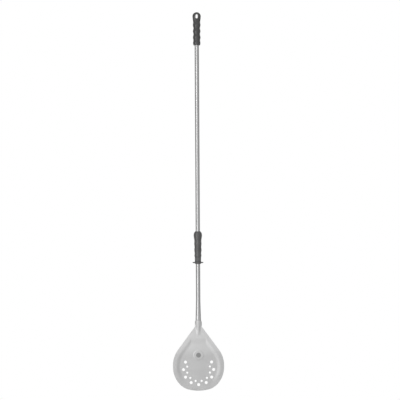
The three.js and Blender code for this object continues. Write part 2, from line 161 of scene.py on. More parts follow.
def rounded(corners, closed=True, steps=4):
    """Corners given as (radius from the axis, z, fillet) as points, each fillet a soft curve."""
    spots = [Vector((radius, z)) for radius, z, _ in corners]
    points = []
    for i, (spot, (_, _, fillet)) in enumerate(zip(spots, corners)):
        ends = not closed and i in (0, len(spots) - 1)
        if ends or not fillet:
            points.append(spot)
            continue
        sides = [spots[i - 1] - spot, spots[(i + 1) % len(spots)] - spot]
        before, after = (spot + side * min(fillet / side.length, 0.49) for side in sides)
        for step in range(steps + 1):
            t = step / steps
            points.append(before.lerp(spot, t).lerp(spot.lerp(after, t), t))
    return points


# %% [markdown]
# ## Adding a piece
# Every piece ends the same way. Its points and faces become a mesh, doubled points on the axis are merged, the faces
# are turned outwards, and flat stretches are kept crisp by marking edges sharper than an angle. Then the piece is put
# on the body of the node of the frame that it stands for, and that node is hidden.

# %% One function that adds a piece
MERGE = 0.0005
CRISP_ANGLE = 38
pieces = {}


def add_piece(name, points, faces, node, slot):
    """Makes a mesh object that stands for a node of the frame and moves with that node's body."""
    mesh = bpy.data.meshes.new(name)
    mesh.from_pydata([Vector(point) * MM for point in points], [], faces)
    shape = bmesh.new()
    shape.from_mesh(mesh)
    bmesh.ops.remove_doubles(shape, verts=shape.verts, dist=MERGE * MM)
    bmesh.ops.dissolve_degenerate(shape, edges=shape.edges, dist=MERGE * MM)
    bmesh.ops.recalc_face_normals(shape, faces=shape.faces)
    open_edges = sum(len(edge.link_faces) != 2 for edge in shape.edges)
    shape.to_mesh(mesh)
    shape.free()
    mesh.shade_smooth()
    mesh.set_sharp_from_angle(angle=math.radians(CRISP_ANGLE))
    piece = bpy.data.objects.new(name, mesh)
    bpy.context.collection.objects.link(piece)
    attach(piece, frame["nodes"][node]["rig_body"])
    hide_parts(node)
    pieces[name] = piece
    print(f"{name}: {len(mesh.polygons)} faces, {open_edges} open edges")
    return piece


# %% [markdown]
# ## Turned and lofted skins
#
# Tubes, bushes, collars and grips are all a stack of rings. A turned piece has round rings, while
# the tube's pressed end and the flat eye have oval ones, so one skin serves them all: each ring is
# a half-width, a half-depth, the place of its centre and how square it is. A moulded piece also
# has a faint ridge down each side, where the two halves of its mould met.

# %% The skin of a stack of rings
SEAM_HEIGHT = 0.14
SEAM_WIDTH = 0.45


class Ring:
    """One oval section: half-width, half-depth, centre and squareness (2 is an ellipse)."""

    def __init__(self, half_x, half_y, z, centre_y=0.0, power=2.0, seam=False):
        self.size = (half_x, half_y)
        self.z = z
        self.centre_y = centre_y
        self.power = power
        self.seam = seam

    def point(self, angle):
        half_x, half_y = self.size
        cosine, sine = math.cos(angle), math.sin(angle)
        if self.seam:
            off_seam = half_y * sine / SEAM_WIDTH
            half_x += SEAM_HEIGHT * math.exp(-off_seam * off_seam)
        x = half_x * math.copysign(abs(cosine) ** (2 / self.power), cosine)
        y = half_y * math.copysign(abs(sine) ** (2 / self.power), sine)
        return Vector((x, self.centre_y + y, self.z))


def round_angles(sides, radius=None):
    """Even angles round a ring; with a radius, more of them where a mould's ridge runs."""
    angles = [2 * math.pi * side / sides for side in range(sides)]
    if radius:
        near = [offset * SEAM_WIDTH / radius for offset in (-1.6, -0.8, -0.4, 0.4, 0.8, 1.6)]
        gap = 2.2 * SEAM_WIDTH / radius
        clear = [a for a in angles if abs(math.sin(a)) > gap or abs(math.sin(a)) < 1e-6]
        angles = sorted(clear + [(side + o) % (2 * math.pi) for side in (0, math.pi) for o in near])
    return angles


def ring_skin(rings, angles, closed):
    """Points and faces of a skin over rings; closed joins the last ring to the first."""
    sides = len(angles)
    points = [ring.point(angle) for ring in rings for angle in angles]
    faces = []
    for row in range(len(rings) if closed else len(rings) - 1):
        here, below = row * sides, (row + 1) % len(rings) * sides
        for side in range(sides):
            after = (side + 1) % sides
            faces.append((here + side, below + side, below + after, here + after))
    return points, faces


def turned_piece(name, profile, node, slot, sides=96, seam_above=None):
    """Turns a closed profile about Z. Rings wider than seam_above carry the mould's ridge."""
    seamed = seam_above is not None
    rings = [Ring(p.x, p.x, p.y, seam=seamed and p.x > seam_above) for p in profile]
    angles = round_angles(sides, max(p.x for p in profile) if seamed else None)
    return add_piece(name, *ring_skin(rings, angles, closed=True), node, slot)


# %% [markdown]
# ## A sheet with openings
#
# The blade is a pressed sheet with seventeen holes, and the eye of the end grip is a skin with a
# slot through it. Cutting them with a boolean would leave long thin triangles and hard edges.
# Here the sheet is drawn flat first: its outline, its openings, and plain points between them are
# joined by a Delaunay triangulation, and only then is each point lifted to its place in space.

# %% Triangles between an outline and its openings
def flat_mesh(outline, openings, inner):
    """Triangles that fill an outline around its openings, and the loops' new point numbers."""
    loops, points = [], []
    for loop in [outline, *openings]:
        loops.append(list(range(len(points), len(points) + len(loop))))
        points += loop
    points += inner
    result = delaunay_2d_cdt(points, [], loops, 2, 1e-7)
    spots, triangles, sources = result[0], result[2], result[3]
    number = {old: new for new, olds in enumerate(sources) for old in olds}
    return spots, triangles, [[number[i] for i in loop] for loop in loops]


class Loop:
    """A closed line in a flat drawing, which knows the points that lie well clear of it."""

    def __init__(self, points, margin):
        self.margin = margin
        self.middle = sum(points, Vector((0, 0))) / len(points)
        self.tree = KDTree(len(points))
        for i, point in enumerate(points):
            self.tree.insert((point.x, point.y, 0), i)
        self.tree.balance()

    def is_outside(self, spot, sign=1):
        near, _, distance = self.tree.find((spot.x, spot.y, 0))
        outwards = (near.xy - self.middle).dot(spot - near.xy) * sign > 0
        return outwards and distance > self.margin

    def is_inside(self, spot):
        return self.is_outside(spot, -1)


def bridge(first, second):
    """Quads between two loops of point numbers that run the same way."""
    count = len(first)
    return [(first[i], first[(i + 1) % count], second[(i + 1) % count], second[i]) for i in range(count)]


# %% [markdown]
# ## The long tube
#
# The handle is a thin steel tube. Its lower end is pressed flat by degrees so that it can lie
# under the blade's neck: it grows wider as it gets thinner, and its section goes from round to a
# flat oval with fuller sides. A loft of rings follows that closely. The inside is lofted too, because
# the tube is open at the top under the grip.

# %% How the tube is pressed flat
TUBE_WALL = 1.0
CRUSH_START = -1119.0
CRUSH_SPREAD = 3.3
CRUSH_CURVE = 2.3
TIP_HALF_THICKNESS = 1.2
TIP_LENGTH = 12.0
TIP_SQUARENESS = 2.2
MOUTH = blade_high.z
HOOD_SQUEEZE = 0.75
HOOD_SQUEEZE_LENGTH = 27.0
SHEET = 1.2
SHOULDER_Y = 4.6
GAP = 0.3
TIP_BACK = SHOULDER_Y + SHEET / 2 + GAP + 2 * TIP_HALF_THICKNESS
TUBE_TOP = tube_high.z
TUBE_TIP = tube_low.z


def crush_at(z):
    return min(max((CRUSH_START - z) / (CRUSH_START - TUBE_TIP), 0), 1)


def tube_half_width(z):
    return TUBE_RADIUS + CRUSH_SPREAD * crush_at(z)


def tube_half_thickness(z):
    squeezed = 1 - HOOD_SQUEEZE * ease(MOUTH - z, 0, HOOD_SQUEEZE_LENGTH)
    spare = (TUBE_RADIUS - TIP_HALF_THICKNESS) * (1 - crush_at(z) ** CRUSH_CURVE)
    return TIP_HALF_THICKNESS + spare * squeezed


def tube_back(z):
    return lerp(TUBE_RADIUS, TIP_BACK, crush_at(z) ** 2)


def tube_front(z):
    return tube_back(z) - 2 * tube_half_thickness(z)


def tube_ring(z, inset):
    """The tube's section, inset from its outside; the last stretch rounds off to the tip."""
    into_tip = min(max((TUBE_TIP + TIP_LENGTH - z) / TIP_LENGTH, 0), 1)
    tip = math.sqrt(1 - 0.8 * into_tip**2)
    half_y = tube_half_thickness(z)
    power = lerp(2, TIP_SQUARENESS, crush_at(z))
    width = max(tube_half_width(z) * tip - inset, 0.4)
    return Ring(width, max(half_y - inset, 0.15), z, tube_back(z) - half_y, power)


# %% [markdown]
# ### Drilling the tube
#
# The end grip's screw passes through the tube's wall near the top, so the tube is drilled there.
# A boolean suits one straight hole in a plain round wall, and it also cuts the screw's slot later.

# %% Cutting one solid out of another
def loose_solid(name, points, faces):
    """An object for a boolean, with its doubled points merged and its faces turned outwards."""
    mesh = bpy.data.meshes.new(name)
    mesh.from_pydata([Vector(point) * MM for point in points], [], faces)
    shape = bmesh.new()
    shape.from_mesh(mesh)
    bmesh.ops.remove_doubles(shape, verts=shape.verts, dist=2 * MERGE * MM)
    bmesh.ops.recalc_face_normals(shape, faces=shape.faces)
    shape.to_mesh(mesh)
    shape.free()
    loose = bpy.data.objects.new(name, mesh)
    bpy.context.collection.objects.link(loose)
    return loose


def cut_away(skin, tool):
    """Points and faces that are left of a skin once a tool is cut out of it."""
    blank, cutter = loose_solid("blank", *skin), loose_solid("cutter", *tool)
    cut = blank.modifiers.new("cut", "BOOLEAN")
    cut.operation, cut.object, cut.solver = "DIFFERENCE", cutter, "EXACT"
    done = blank.evaluated_get(bpy.context.evaluated_depsgraph_get()).to_mesh()
    left = [corner.co / MM for corner in done.vertices], [tuple(face.vertices) for face in done.polygons]
    for loose in (blank, cutter):
        bpy.data.objects.remove(loose)
    return left


# %% Make the tube
SCREW_Z = -78.5
SCREW_RADIUS = 1.6
DRILL_START, DRILL_END = 1.6, 20.0
LIP = 0.25
straight = [lerp(TUBE_TOP - 2, CRUSH_START, step / 24) for step in range(24)]
pressed = [lerp(CRUSH_START, TUBE_TIP + 0.4, step / 64) for step in range(65)]
outside = [tube_ring(TUBE_TOP, LIP), tube_ring(TUBE_TOP - LIP, 0)]
outside += [tube_ring(z, 0) for z in straight + pressed]
outside += [tube_ring(TUBE_TIP, 0.5)]
inside = [tube_ring(z, TUBE_WALL) for z in straight + pressed[:-6]]
inside = [tube_ring(TUBE_TOP, TUBE_WALL - LIP), tube_ring(TUBE_TOP - LIP, TUBE_WALL), *inside]
end_cap = [Ring(0.0001, 0.0001, TUBE_TIP, outside[-1].centre_y)]
bore_end = [Ring(0.0001, 0.0001, inside[-1].z, inside[-1].centre_y)]
tube_rings = bore_end + inside[::-1] + outside + end_cap
tube_skin = ring_skin(tube_rings, round_angles(96), closed=False)


def towards_back(skin):
    """Lays a skin that was turned about Z along Y instead, at the screw's height."""
    points, faces = skin
    return [Vector((p.x, p.z, SCREW_Z - p.y)) for p in points], faces


drill_size = SCREW_RADIUS + GAP
drill_line = [(0.0001, DRILL_START), (drill_size, DRILL_START), (drill_size, DRILL_END), (0.0001, DRILL_END)]
drill = ring_skin([Ring(radius, radius, z) for radius, z in drill_line], round_angles(32), closed=False)
add_piece("long_tube", *cut_away(tube_skin, towards_back(drill)), "shaft_tube", "tube_steel")

# %% [markdown]
# ## The blade
#
# The blade is one pressed sheet. Its outline is a round head with two straight shoulders that run
# up to a narrow neck, where the sheet is drawn into a hood over the tube's flat end. The middle is
# pressed back into a shallow dish, whose step follows the shoulders and runs out towards the front, so a
# pizza slides on. A plain round boss is pressed where a maker would put a mark.
#
# The sheet could be a thin extruded plate, but then it would have no dish and no hood. As a flat
# mesh that is lifted point by point it takes all of its shape from a few formulas.

# %% The blade's outline
HEAD_RADIUS = 100.0
HEAD_CENTRE = -1380.0
HEAD_STRETCH = 7.0
UPPER_CENTRE = HEAD_CENTRE + HEAD_STRETCH
SHOULDER_ANGLE = math.radians(36.2)
CORNER_RADIUS = 70.0
CORNER_START = math.radians(43)
FRONT_DEPTH = HEAD_CENTRE - blade_low.z
NECK_END = -1258.0
NECK_BLEND = 1.6
EDGE_SPACING = 1.5


def shoulder_half_width(z):
    reach = HEAD_RADIUS - (z - UPPER_CENTRE) * math.sin(SHOULDER_ANGLE)
    return reach / math.cos(SHOULDER_ANGLE)


def down_hood(z):
    return min(max((MOUTH - z) / (MOUTH - NECK_END), 0), 1)


def hood_opening(z):
    return ease(down_hood(z), 0, 1)


def neck_half_width(z):
    """Half-width of the sheet's middle plane: the hood's, easing over into the shoulder's."""
    hood = tube_half_width(z) + GAP + SHEET
    shoulder = shoulder_half_width(z)
    blended = NECK_BLEND * math.log(math.exp((shoulder - hood) / NECK_BLEND) + 1) + hood
    return blended - (1 - hood_opening(z)) * SHEET / 2


def arc(centre_x, centre_z, radius, start, end):
    """Points along an arc, from one angle to another."""
    count = max(round(abs(end - start) * radius / EDGE_SPACING), 2)
    angles = [lerp(start, end, step / count) for step in range(count + 1)]
    return [Vector((centre_x + radius * math.cos(a), centre_z + radius * math.sin(a))) for a in angles]


def blade_outline():
    """Right half from the middle of the neck's mouth to the front, then its mirror image."""
    offset = HEAD_RADIUS - CORNER_RADIUS
    corner_x = offset * math.cos(CORNER_START)
    corner_z = HEAD_CENTRE - offset * math.sin(CORNER_START)
    run = corner_z - (HEAD_CENTRE - FRONT_DEPTH)
    front_radius = (corner_x**2 + run**2 - CORNER_RADIUS**2) / (2 * (run - CORNER_RADIUS))
    front_z = HEAD_CENTRE - FRONT_DEPTH + front_radius
    front = math.atan2(front_z - corner_z, corner_x)
    heights = [lerp(MOUTH, NECK_END, step / 48) for step in range(48)]
    right = [Vector((0.0, MOUTH))]
    right += [Vector((neck_half_width(z), z)) for z in heights]
    right += [Vector((neck_half_width(NECK_END), NECK_END))]
    right += arc(0, UPPER_CENTRE, HEAD_RADIUS, SHOULDER_ANGLE, 0)
    right += arc(0, HEAD_CENTRE, HEAD_RADIUS, 0, -CORNER_START)
    right += arc(corner_x, corner_z, CORNER_RADIUS, -CORNER_START, -front)[1:]
    right += arc(0, front_z, front_radius, -front, -math.pi / 2)[1:]
    right = evenly(right, EDGE_SPACING)
    left = [Vector((-point.x, point.y)) for point in right[1:-1]]
    return right + left[::-1]


outline = blade_outline()
print("blade outline:", len(outline), "points")

# %% [markdown]
# ### The blade's height
#
# The dish is measured by how far a point lies inside the outline, so its step runs parallel to the
# straight shoulders and round with the head. The hood is half an oval at its mouth and sinks into
# the sheet where the shoulders begin. Hand-finished sheet is never perfectly flat either, so the floor
# carries a swell of a tenth of a millimetre or two, which is what bends the reflections.

# %% How far each point of the sheet is pressed back
DISH_DEPTH = 2.2
STEP_INNER, STEP_OUTER = 71.0, 87.0
FADE_START, FADE_END = 95.0, 150.0
NECK_RUN_OUT = -1292.0
BOSS_Z = -1334.0
BOSS_RADIUS = 19.0
BOSS_EDGE = 1.6
BOSS_HEIGHT = 0.55
BOSS_GROOVE_RADIUS = 13.0
MARK_RADIUS = 9.5
SWELL = 0.16
RIDGE_WIDTH, RIDGE_END_WIDTH = 12.0, 8.0
RIDGE_SHAPING = 27.0


def inside_measure(x, z):
    """The size of the teardrop through a point: 100 on the blade's edge, 0 at its centre."""
    up = z - UPPER_CENTRE
    on_shoulder = math.atan2(abs(x), up) < math.pi / 2 - SHOULDER_ANGLE
    if on_shoulder:
        return abs(x) * math.cos(SHOULDER_ANGLE) + up * math.sin(SHOULDER_ANGLE)
    return math.hypot(x, z - min(max(z, HEAD_CENTRE), UPPER_CENTRE))


def head_height(x, z):
    bearing = math.degrees(math.atan2(abs(x), z - HEAD_CENTRE))
    run_out = ease(bearing, FADE_START, FADE_END)
    step = max(ease(inside_measure(x, z), STEP_INNER, STEP_OUTER), ease(z, NECK_RUN_OUT, NECK_END - 6))
    from_boss = math.hypot(x, z - BOSS_Z)
    boss = 1 - ease(from_boss, BOSS_RADIUS - BOSS_EDGE, BOSS_RADIUS + BOSS_EDGE)
    groove = math.exp(-(((from_boss - BOSS_GROOVE_RADIUS) / 0.9) ** 2))
    swell = math.sin(x / 23 + 0.6) * math.sin(z / 31 + 1.1) + 0.5 * math.sin((x + z) / 17)
    pressed_back = DISH_DEPTH * (1 - step * (1 - run_out)) + SWELL * swell * (1 - step)
    return SHOULDER_Y + pressed_back - BOSS_HEIGHT * boss + 0.2 * groove


def rim_height(z):
    """Height of the hood's two rims, which sink back to the sheet's plane as it opens."""
    return lerp(tube_back(MOUTH) - tube_half_thickness(MOUTH), SHOULDER_Y, hood_opening(z))


def ridge_height(z):
    return lerp(tube_front(MOUTH) - GAP - SHEET / 2, SHOULDER_Y, down_hood(z))


def ridge_share(x, half, z):
    """The ridge's section: an oval at the hood's mouth, and a soft hump further down."""
    oval = math.sqrt(max(1 - (x / half) ** 2, 0))
    width = lerp(RIDGE_WIDTH, RIDGE_END_WIDTH, down_hood(z))
    hump = max(1 - (x / width) ** 2, 0) ** 2
    return lerp(oval, hump, ease(MOUTH - z, 0, RIDGE_SHAPING))


def sheet_point(across, z):
    """Lifts a point of the flat drawing to the sheet's middle plane."""
    if z <= NECK_END:
        return Vector((across, head_height(across, z), z))
    half = neck_half_width(z)
    share = min(max(across / half, -1), 1)
    x = half * lerp(math.sin(share * math.pi / 2), share, hood_opening(z))
    return Vector((x, lerp(rim_height(z), ridge_height(z), ridge_share(x, half, z)), z))


# %% [markdown]
# ### Holes and points between them
#
# The holes let flour fall through. They stand in two rows round the front, nine large and eight
# small, in a fan about one centre. Each hole gets two more rings of points close round it, so the
# edge can be rounded over, and the boss gets rings of its own.

# %% Rings of points for the holes and the boss
HOLE_CENTRE = -1390.5
HOLE_PITCH = 30.0
HOLE_ROWS = [
    {"ring": 59.0, "hole": 5.9, "count": 9, "first": -30.0},
    {"ring": 46.0, "hole": 4.2, "count": 8, "first": -15.0},
]
EDGE_ROUND = 0.4


def circle(x, z, radius, spacing):
    count = max(round(2 * math.pi * radius / spacing), 12)
    turns = [2 * math.pi * step / count for step in range(count)]
    return [Vector((x + radius * math.cos(a), z + radius * math.sin(a))) for a in turns]


holes = []
for row in HOLE_ROWS:
    for i in range(row["count"]):
        bearing = math.radians(180 + row["first"] + HOLE_PITCH * i)
        x = row["ring"] * math.cos(bearing)
        z = HOLE_CENTRE + row["ring"] * math.sin(bearing)
        holes.append((x, z, row["hole"]))
print("holes:", len(holes))


def inward(loop, distance):
    """A copy of an outline, moved in by a distance. The outline runs clockwise."""
    moved = []
    for before, here, after in zip([loop[-1], *loop], loop, [*loop[1:], loop[0]]):
        along = (after - before).normalized()
        moved.append(here + distance * Vector((along.y, -along.x)))
    return moved


# %% Points between the edges
GRID = 2.1
NECK_COLUMNS = 26
NECK_STEP = 1.4
edge_loop = Loop(outline, 1.5)
hole_loops = [Loop(circle(hx, hz, r + 1.2, 1.2), 0.9) for hx, hz, r in holes]
boss_rings = [(BOSS_RADIUS, 3.0), (BOSS_GROOVE_RADIUS, 2.6)]


def is_clear(spot):
    """True where a grid point keeps off the edges, the holes and the boss's rings."""
    from_boss = math.hypot(spot.x, spot.y - BOSS_Z)
    if any(abs(from_boss - radius) < margin for radius, margin in boss_rings):
        return False
    return edge_loop.is_inside(spot) and all(loop.is_outside(spot) for loop in hole_loops)


inner = []
for row in range(int((NECK_END - blade_low.z) / GRID)):
    z = blade_low.z + (row + 0.5) * GRID
    for column in range(-50, 51):
        spot = Vector(((column + 0.5 * (row % 2)) * GRID * 1.1, z))
        if is_clear(spot):
            inner.append(spot)
z = MOUTH - NECK_STEP
while z > NECK_END - 0.7:
    for column in range(1, NECK_COLUMNS):
        across = 2 * column / NECK_COLUMNS - 1
        inner.append(Vector((across * (neck_half_width(z) - 0.9), z)))
    z -= NECK_STEP
for hx, hz, r in holes:
    inner += circle(hx, hz, r + EDGE_ROUND, 1.0) + circle(hx, hz, r + 1.2, 1.2)
for offset in (-BOSS_EDGE, -0.8, 0, 0.8, BOSS_EDGE):
    inner += circle(0, BOSS_Z, BOSS_RADIUS + offset, 1.2)
for offset in (-1.6, -0.8, 0, 0.8, 1.6):
    inner += circle(0, BOSS_Z, BOSS_GROOVE_RADIUS + offset, 1.1)
inner += inward(outline, EDGE_ROUND)
print("blade points:", len(inner))

# %% [markdown]
# ### Giving the sheet its thickness
#
# Both faces are copies of the middle plane, moved half a thickness along its normals. On the rims
# of the outline and the holes the two faces come closer together, which rounds the edge over as a
# deburring wheel does. The front edge is a little thinner, because it is ground to slip under a
# pizza.

# %% Make the blade
RIM_SHARE = 0.3
FRONT_GRIND = 0.3


def blade_mesh():
    rims = [circle(hx, hz, r, 1.0) for hx, hz, r in holes]
    spots, triangles, loops = flat_mesh(outline, rims, inner)
    middle = [sheet_point(spot.x, spot.y) for spot in spots]
    shape = bmesh.new()
    corners = [shape.verts.new(point) for point in middle]
    for triangle in triangles:
        shape.faces.new([corners[i] for i in triangle])
    shape.normal_update()
    normals = [corner.normal.copy() for corner in corners]
    shape.free()
    on_rim = {i for loop in loops for i in loop}
    front, back = [], []
    for i, (point, normal) in enumerate(zip(middle, normals)):
        ground = 1 - FRONT_GRIND * ease(HEAD_CENTRE - point.z, FRONT_DEPTH - 9, FRONT_DEPTH)
        half = SHEET / 2 * ground * (RIM_SHARE if i in on_rim else 1)
        front.append(point + normal * half)
        back.append(point - normal * half)
    count = len(middle)
    faces = [tuple(t) for t in triangles] + [tuple(count + i for i in t) for t in triangles]
    for loop in loops:
        faces += bridge(loop, [count + i for i in loop])
    return front + back, faces


add_piece("perforated_blade", *blade_mesh(), "blade", "blade_steel")

# %% [markdown]
# ## Weld beads
#
# Three beads join the flattened tube to the back of the blade, one in the crevice on each side and
# one across the tip. A weld is laid down as a row of small puddles that overlap like coins, so each bead is a
# tube whose radius swells and drops once for every puddle.

# %% Make the beads
BEAD_RADIUS = 1.05
RIPPLE_PITCH = 1.7
RIPPLE_HEIGHT = 0.16


def bead(name, path, node):
    """A rippled bead along a path of points, with rounded ends."""
    path = evenly(smooth_curve(path, 8), RIPPLE_PITCH / 6)
    length = RIPPLE_PITCH / 6 * (len(path) - 1)
    sides = 20
    points, faces = [], []
    for i, spot in enumerate(path):
        along = (path[min(i + 1, len(path) - 1)] - path[max(i - 1, 0)]).normalized()
        side = along.cross(Vector((0, 1, 0))).normalized()
        up = side.cross(along)
        place = length * i / (len(path) - 1)
        to_end = min(place, length - place) / BEAD_RADIUS
        dome = math.sqrt(1 - (1 - min(to_end, 1)) ** 2)
        ripple = RIPPLE_HEIGHT * (1 - (place / RIPPLE_PITCH) % 1) - RIPPLE_HEIGHT / 2
        radius = max((BEAD_RADIUS + ripple) * dome, 0.0001)
        for step in range(sides):
            turn = 2 * math.pi * step / sides
            points.append(spot + radius * (math.cos(turn) * side + math.sin(turn) * up))
    for i in range(len(path) - 1):
        rows = [[row * sides + step for step in range(sides)] for row in (i, i + 1)]
        faces += bridge(*rows)
    return add_piece(name, points, faces, node, "weld_steel")


def side_path(side):
    low, high = span("neck_weld_right")
    heights = [lerp(high.z - BEAD_RADIUS, low.z + BEAD_RADIUS, step / 6) for step in range(7)]
    path = []
    for z in heights:
        lift = lerp(SHEET / 4, SHEET / 2 + GAP, ease(MOUTH - z, 0, RIDGE_SHAPING)) + 1.1
        path.append(Vector((side * (tube_half_width(z) + GAP + 1.1), rim_height(z) + lift, z)))
    return path


bead("left_neck_bead", side_path(-1), "neck_weld_left")
bead("right_neck_bead", side_path(1), "neck_weld_right")
tip_low, tip_high = span("neck_weld_tip")
tip_middle = (tip_low + tip_high) / 2
tip_path = [tip_middle + Vector((part * (tip_high.x - 0.4), 0, 0.5 * part * part)) for part in (-1, -0.4, 0.4, 1)]
bead("tip_bead", tip_path, "neck_weld_tip")

# %% [markdown]
# ## The end grip
#
# The end grip is moulded in one piece. Its top is a flat round eye with an upright slot, and below
# the eye it turns round, with waves for the fingers. The skin is drawn flat: round the grip goes
# across the drawing, and down the grip goes down it. That lets the slot and the screw's recess be
# openings in the drawing, with soft edges and smooth tunnels behind them.

# %% The end grip's rings, from the top of the eye, down, and up its bore
EYE_RADIUS = 16.2
EYE_TOP = 7.7
EYE_CENTRE = EYE_TOP - EYE_RADIUS
EYE_FLATNESS = 0.52
ROUND_FROM = -50.0
GRIP_END = eye_low.z
GRIP_BORE = TUBE_RADIUS + GAP
BORE_TOP = -33.9
GRIP_WAVES = [(-20, 30.2), (-32, 27.1), (-43, 29.9), (-55, 25.3), (-67, 29.6), (-78.5, 25.2),
              (-90.5, 29.7), (-102, 26.2), (-112.5, 28.8), (-119.5, 27)]
ROW_SPACING = 1.0


def wave_points(waves, steps=8):
    return smooth_curve([Vector((diameter / 2, z)) for z, diameter in waves], steps)


def grip_depth(z):
    return lerp(1, EYE_FLATNESS, ease(z, ROUND_FROM, EYE_CENTRE))


eye_angles = [math.radians(90 - 3 * step) for step in range(31)]
eye_arc = [Vector((EYE_RADIUS * math.cos(a), EYE_CENTRE + EYE_RADIUS * math.sin(a))) for a in eye_angles]
foot = rounded([(13.5, -119.5, 0), (12.6, GRIP_END, 1.8), (GRIP_BORE, GRIP_END, 0.7),
                (GRIP_BORE, GRIP_END + 4, 0)], closed=False)
outer_line = evenly(eye_arc + wave_points(GRIP_WAVES), ROW_SPACING)
foot_line = evenly(foot[1:], 0.4)
bore_line = evenly([Vector((GRIP_BORE, GRIP_END + 5)), Vector((GRIP_BORE, BORE_TOP))], 2.0)
grip_line = outer_line + foot_line + bore_line + [Vector((0.0001, BORE_TOP))]
print("end grip rows:", len(grip_line))

# %% [markdown]
# ### Openings in the grip
#
# An opening is a rounded slot seen from the front or the back. Its rim lies on the skin a little
# outside the slot's true edge, and from there rings curl over into the tunnel: that is the soft
# edge a moulded eye has, so a hook doesn't bite into it.

# %% Places on the grip's skin
GRIP_WIDTH = 15.0  # width of the flat drawing for each radian round the grip
BACK, FRONT = math.pi / 2, 3 * math.pi / 2


def grip_ring(row):
    """The ring at any place down the drawing, also between two rows."""
    above = min(int(row), len(grip_line) - 2)
    spot = grip_line[above].lerp(grip_line[above + 1], row - above)
    outside = row < len(outer_line)
    depth = grip_depth(spot.y) if outside else 1
    return Ring(spot.x, spot.x * depth, spot.y, seam=outside and spot.x > 3)


def row_at(z, first, last):
    """How far down the drawing a height lies, between two rows where height only falls or rises."""
    for row in range(first, last):
        a, b = grip_line[row].y, grip_line[row + 1].y
        if min(a, b) <= z <= max(a, b):
            return row + (z - a) / (b - a)
    return last


def drawn(x, z, facing, rows):
    """Where a point seen from the front or the back lies in the flat drawing."""
    row = row_at(z, *rows)
    lean = math.asin(min(max(x / grip_ring(row).size[0], -1), 1))
    angle = facing - lean if facing == BACK else facing + lean
    return Vector((angle * GRIP_WIDTH, row))


def slot_loop(half_width, height, top, outside, count=72):
    """A round-ended upright slot, grown outwards by a distance."""
    half_run = (height / 2 - half_width)
    middle = top - height / 2
    loop = []
    for step in range(count):
        turn = 2 * math.pi * step / count
        shift = half_run * math.copysign(min(abs(math.sin(turn)) * 3, 1), math.sin(turn))
        reach = half_width + outside
        loop.append(Vector((reach * math.cos(turn), middle + shift + reach * math.sin(turn))))
    return loop


# %% [markdown]
# The slot's tunnel runs from front to back. The screw's recess starts at the back, has a flat
# floor for the screw's head, and goes on as a small hole into the bore.

# %% Make the end grip
SLOT_HALF, SLOT_HEIGHT = 4.25, 17.5
SLOT_SOFT = 2.2
SCREW_SEAT = TUBE_RADIUS + 2
RECESS_RADIUS = 3.5
SCREW_HOLE_RADIUS = 1.9
OUTER_ROWS = (0, len(outer_line) - 1)
BORE_ROWS = (len(outer_line) + len(foot_line), len(grip_line) - 2)


def grip_openings():
    """Loops in the drawing: the slot in front and at the back, the recess, and its hole in the bore."""
    slot = slot_loop(SLOT_HALF, SLOT_HEIGHT, 0, SLOT_SOFT)
    recess = circle(0, SCREW_Z, RECESS_RADIUS + 0.5, 0.6)
    count = len(recess)
    turns = [2 * math.pi * step / count for step in range(count)]
    small = [Vector((SCREW_HOLE_RADIUS * math.cos(a), SCREW_Z + SCREW_HOLE_RADIUS * math.sin(a))) for a in turns]
    return [
        [drawn(p.x, p.y, FRONT, OUTER_ROWS) for p in slot],
        [drawn(p.x, p.y, BACK, OUTER_ROWS) for p in slot],
        [drawn(p.x, p.y, BACK, OUTER_ROWS) for p in recess],
        [drawn(p.x, p.y, BACK, BORE_ROWS) for p in small],
    ]


def end_grip_mesh():
    angles = round_angles(120, EYE_RADIUS) + [2 * math.pi]
    rows = list(range(len(grip_line)))
    openings = grip_openings()
    left, right = angles[0] * GRIP_WIDTH, angles[-1] * GRIP_WIDTH
    border = [Vector((a * GRIP_WIDTH, 0.0)) for a in angles]
    border += [Vector((right, row)) for row in rows[1:]]
    border += [Vector((a * GRIP_WIDTH, rows[-1])) for a in angles[-2::-1]]
    border += [Vector((left, row)) for row in rows[-2:0:-1]]
    rims = [Loop(opening, 0.45) for opening in openings]
    drawing = [Vector((angle * GRIP_WIDTH, row)) for row in rows[1:-1] for angle in angles[1:-1]]
    grid = [spot for spot in drawing if all(rim.is_outside(spot) for rim in rims)]
    spots, triangles, loops = flat_mesh(border, openings, grid)
    points = [grip_ring(spot.y).point(spot.x / GRIP_WIDTH) for spot in spots]
    faces = [tuple(t) for t in triangles]
    front, back, recess, bore_hole = loops[1:]
    faces += tunnel(points, front, back)
    faces += screw_tunnel(points, recess, bore_hole)
    return points, faces


def tunnel(points, front, back):
    """Rings that curl from the front rim into the slot and out again to the back rim."""
    rims, rings, bends = (front, back), [], [15, 30, 45, 60, 75, 90]
    for rim, inwards in zip(rims, (1, -1)):
        for bend in bends:
            outside = SLOT_SOFT * (1 - math.sin(math.radians(bend)))
            deeper = SLOT_SOFT * (1 - math.cos(math.radians(bend)))
            loop = slot_loop(SLOT_HALF, SLOT_HEIGHT, 0, outside)
            heights = [points[i].y + inwards * deeper for i in rim]
            ring = range(len(points), len(points) + len(loop))
            points += [Vector((p.x, y, p.y)) for p, y in zip(loop, heights)]
            rings.append(list(ring))
    order = [front, *rings[: len(bends)], *rings[len(bends):][::-1], back]
    return [face for pair in zip(order, order[1:]) for face in bridge(*pair)]


